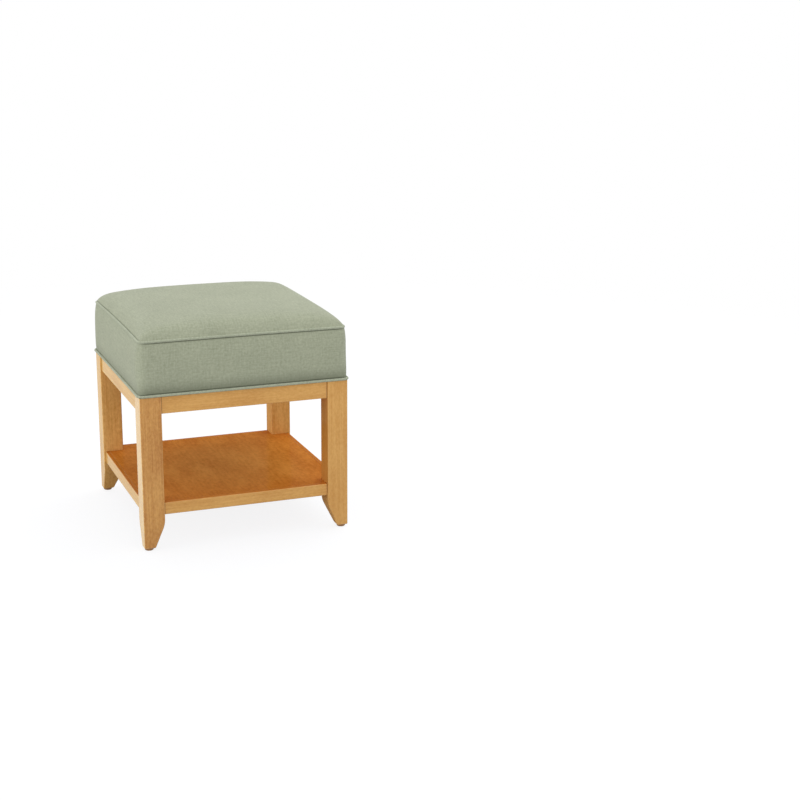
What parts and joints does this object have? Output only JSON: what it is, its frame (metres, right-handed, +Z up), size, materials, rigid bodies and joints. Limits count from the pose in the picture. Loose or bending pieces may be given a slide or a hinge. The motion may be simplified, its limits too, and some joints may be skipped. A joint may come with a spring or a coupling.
{
  "type": "cube ottoman",
  "caption": "Cube-shaped upholstered ottoman: boxed and welted sage fabric seat on a square hardwood base with tapered legs and a low open shelf.",
  "frame": {"origin": "on the floor, under the centre of the base", "axes": "+Z up, +X to the right seen from the front, -Y towards the front"},
  "size_m": [0.468, 0.468, 0.4888],
  "materials": {
    "honey_wood": "satin",
    "shelf_veneer": "gloss",
    "block_wood": "matte",
    "dowel_wood": "matte",
    "deck_plywood": "matte",
    "seat_foam": "matte",
    "seat_fibre": "matte",
    "seat_fabric": "matte",
    "welt_fabric": "matte",
    "dust_cloth": "matte",
    "glide_plastic": "satin",
    "zinc_steel": "satin"
  },
  "bodies": {
    "root": {"apron_back": "honey_wood", "apron_dowels": "dowel_wood", "apron_front": "honey_wood", "apron_left": "honey_wood", "apron_right": "honey_wood", "bottom_welt": "welt_fabric", "boxing_back": "seat_fabric", "boxing_front": "seat_fabric", "boxing_left": "seat_fabric", "boxing_right": "seat_fabric", "corner_block_back_left": "block_wood", "corner_block_back_right": "block_wood", "corner_block_front_left": "block_wood", "corner_block_front_right": "block_wood", "corner_block_screws": "zinc_steel", "cover_top": "seat_fabric", "crown_pad": "seat_fibre", "dust_cover": "dust_cloth", "foam_core": "seat_foam", "glide_back_left": "glide_plastic", "glide_back_right": "glide_plastic", "glide_front_left": "glide_plastic", "glide_front_right": "glide_plastic", "glide_nails": "zinc_steel", "leg_back_left": "honey_wood", "leg_back_right": "honey_wood", "leg_front_left": "honey_wood", "leg_front_right": "honey_wood", "seat_deck": "deck_plywood", "seat_screws": "zinc_steel", "shelf_dowels": "dowel_wood", "shelf_lipping_back": "honey_wood", "shelf_lipping_front": "honey_wood", "shelf_lipping_left": "honey_wood", "shelf_lipping_right": "honey_wood", "shelf_panel": "shelf_veneer", "top_welt": "welt_fabric"}
  },
  "joints": []
}
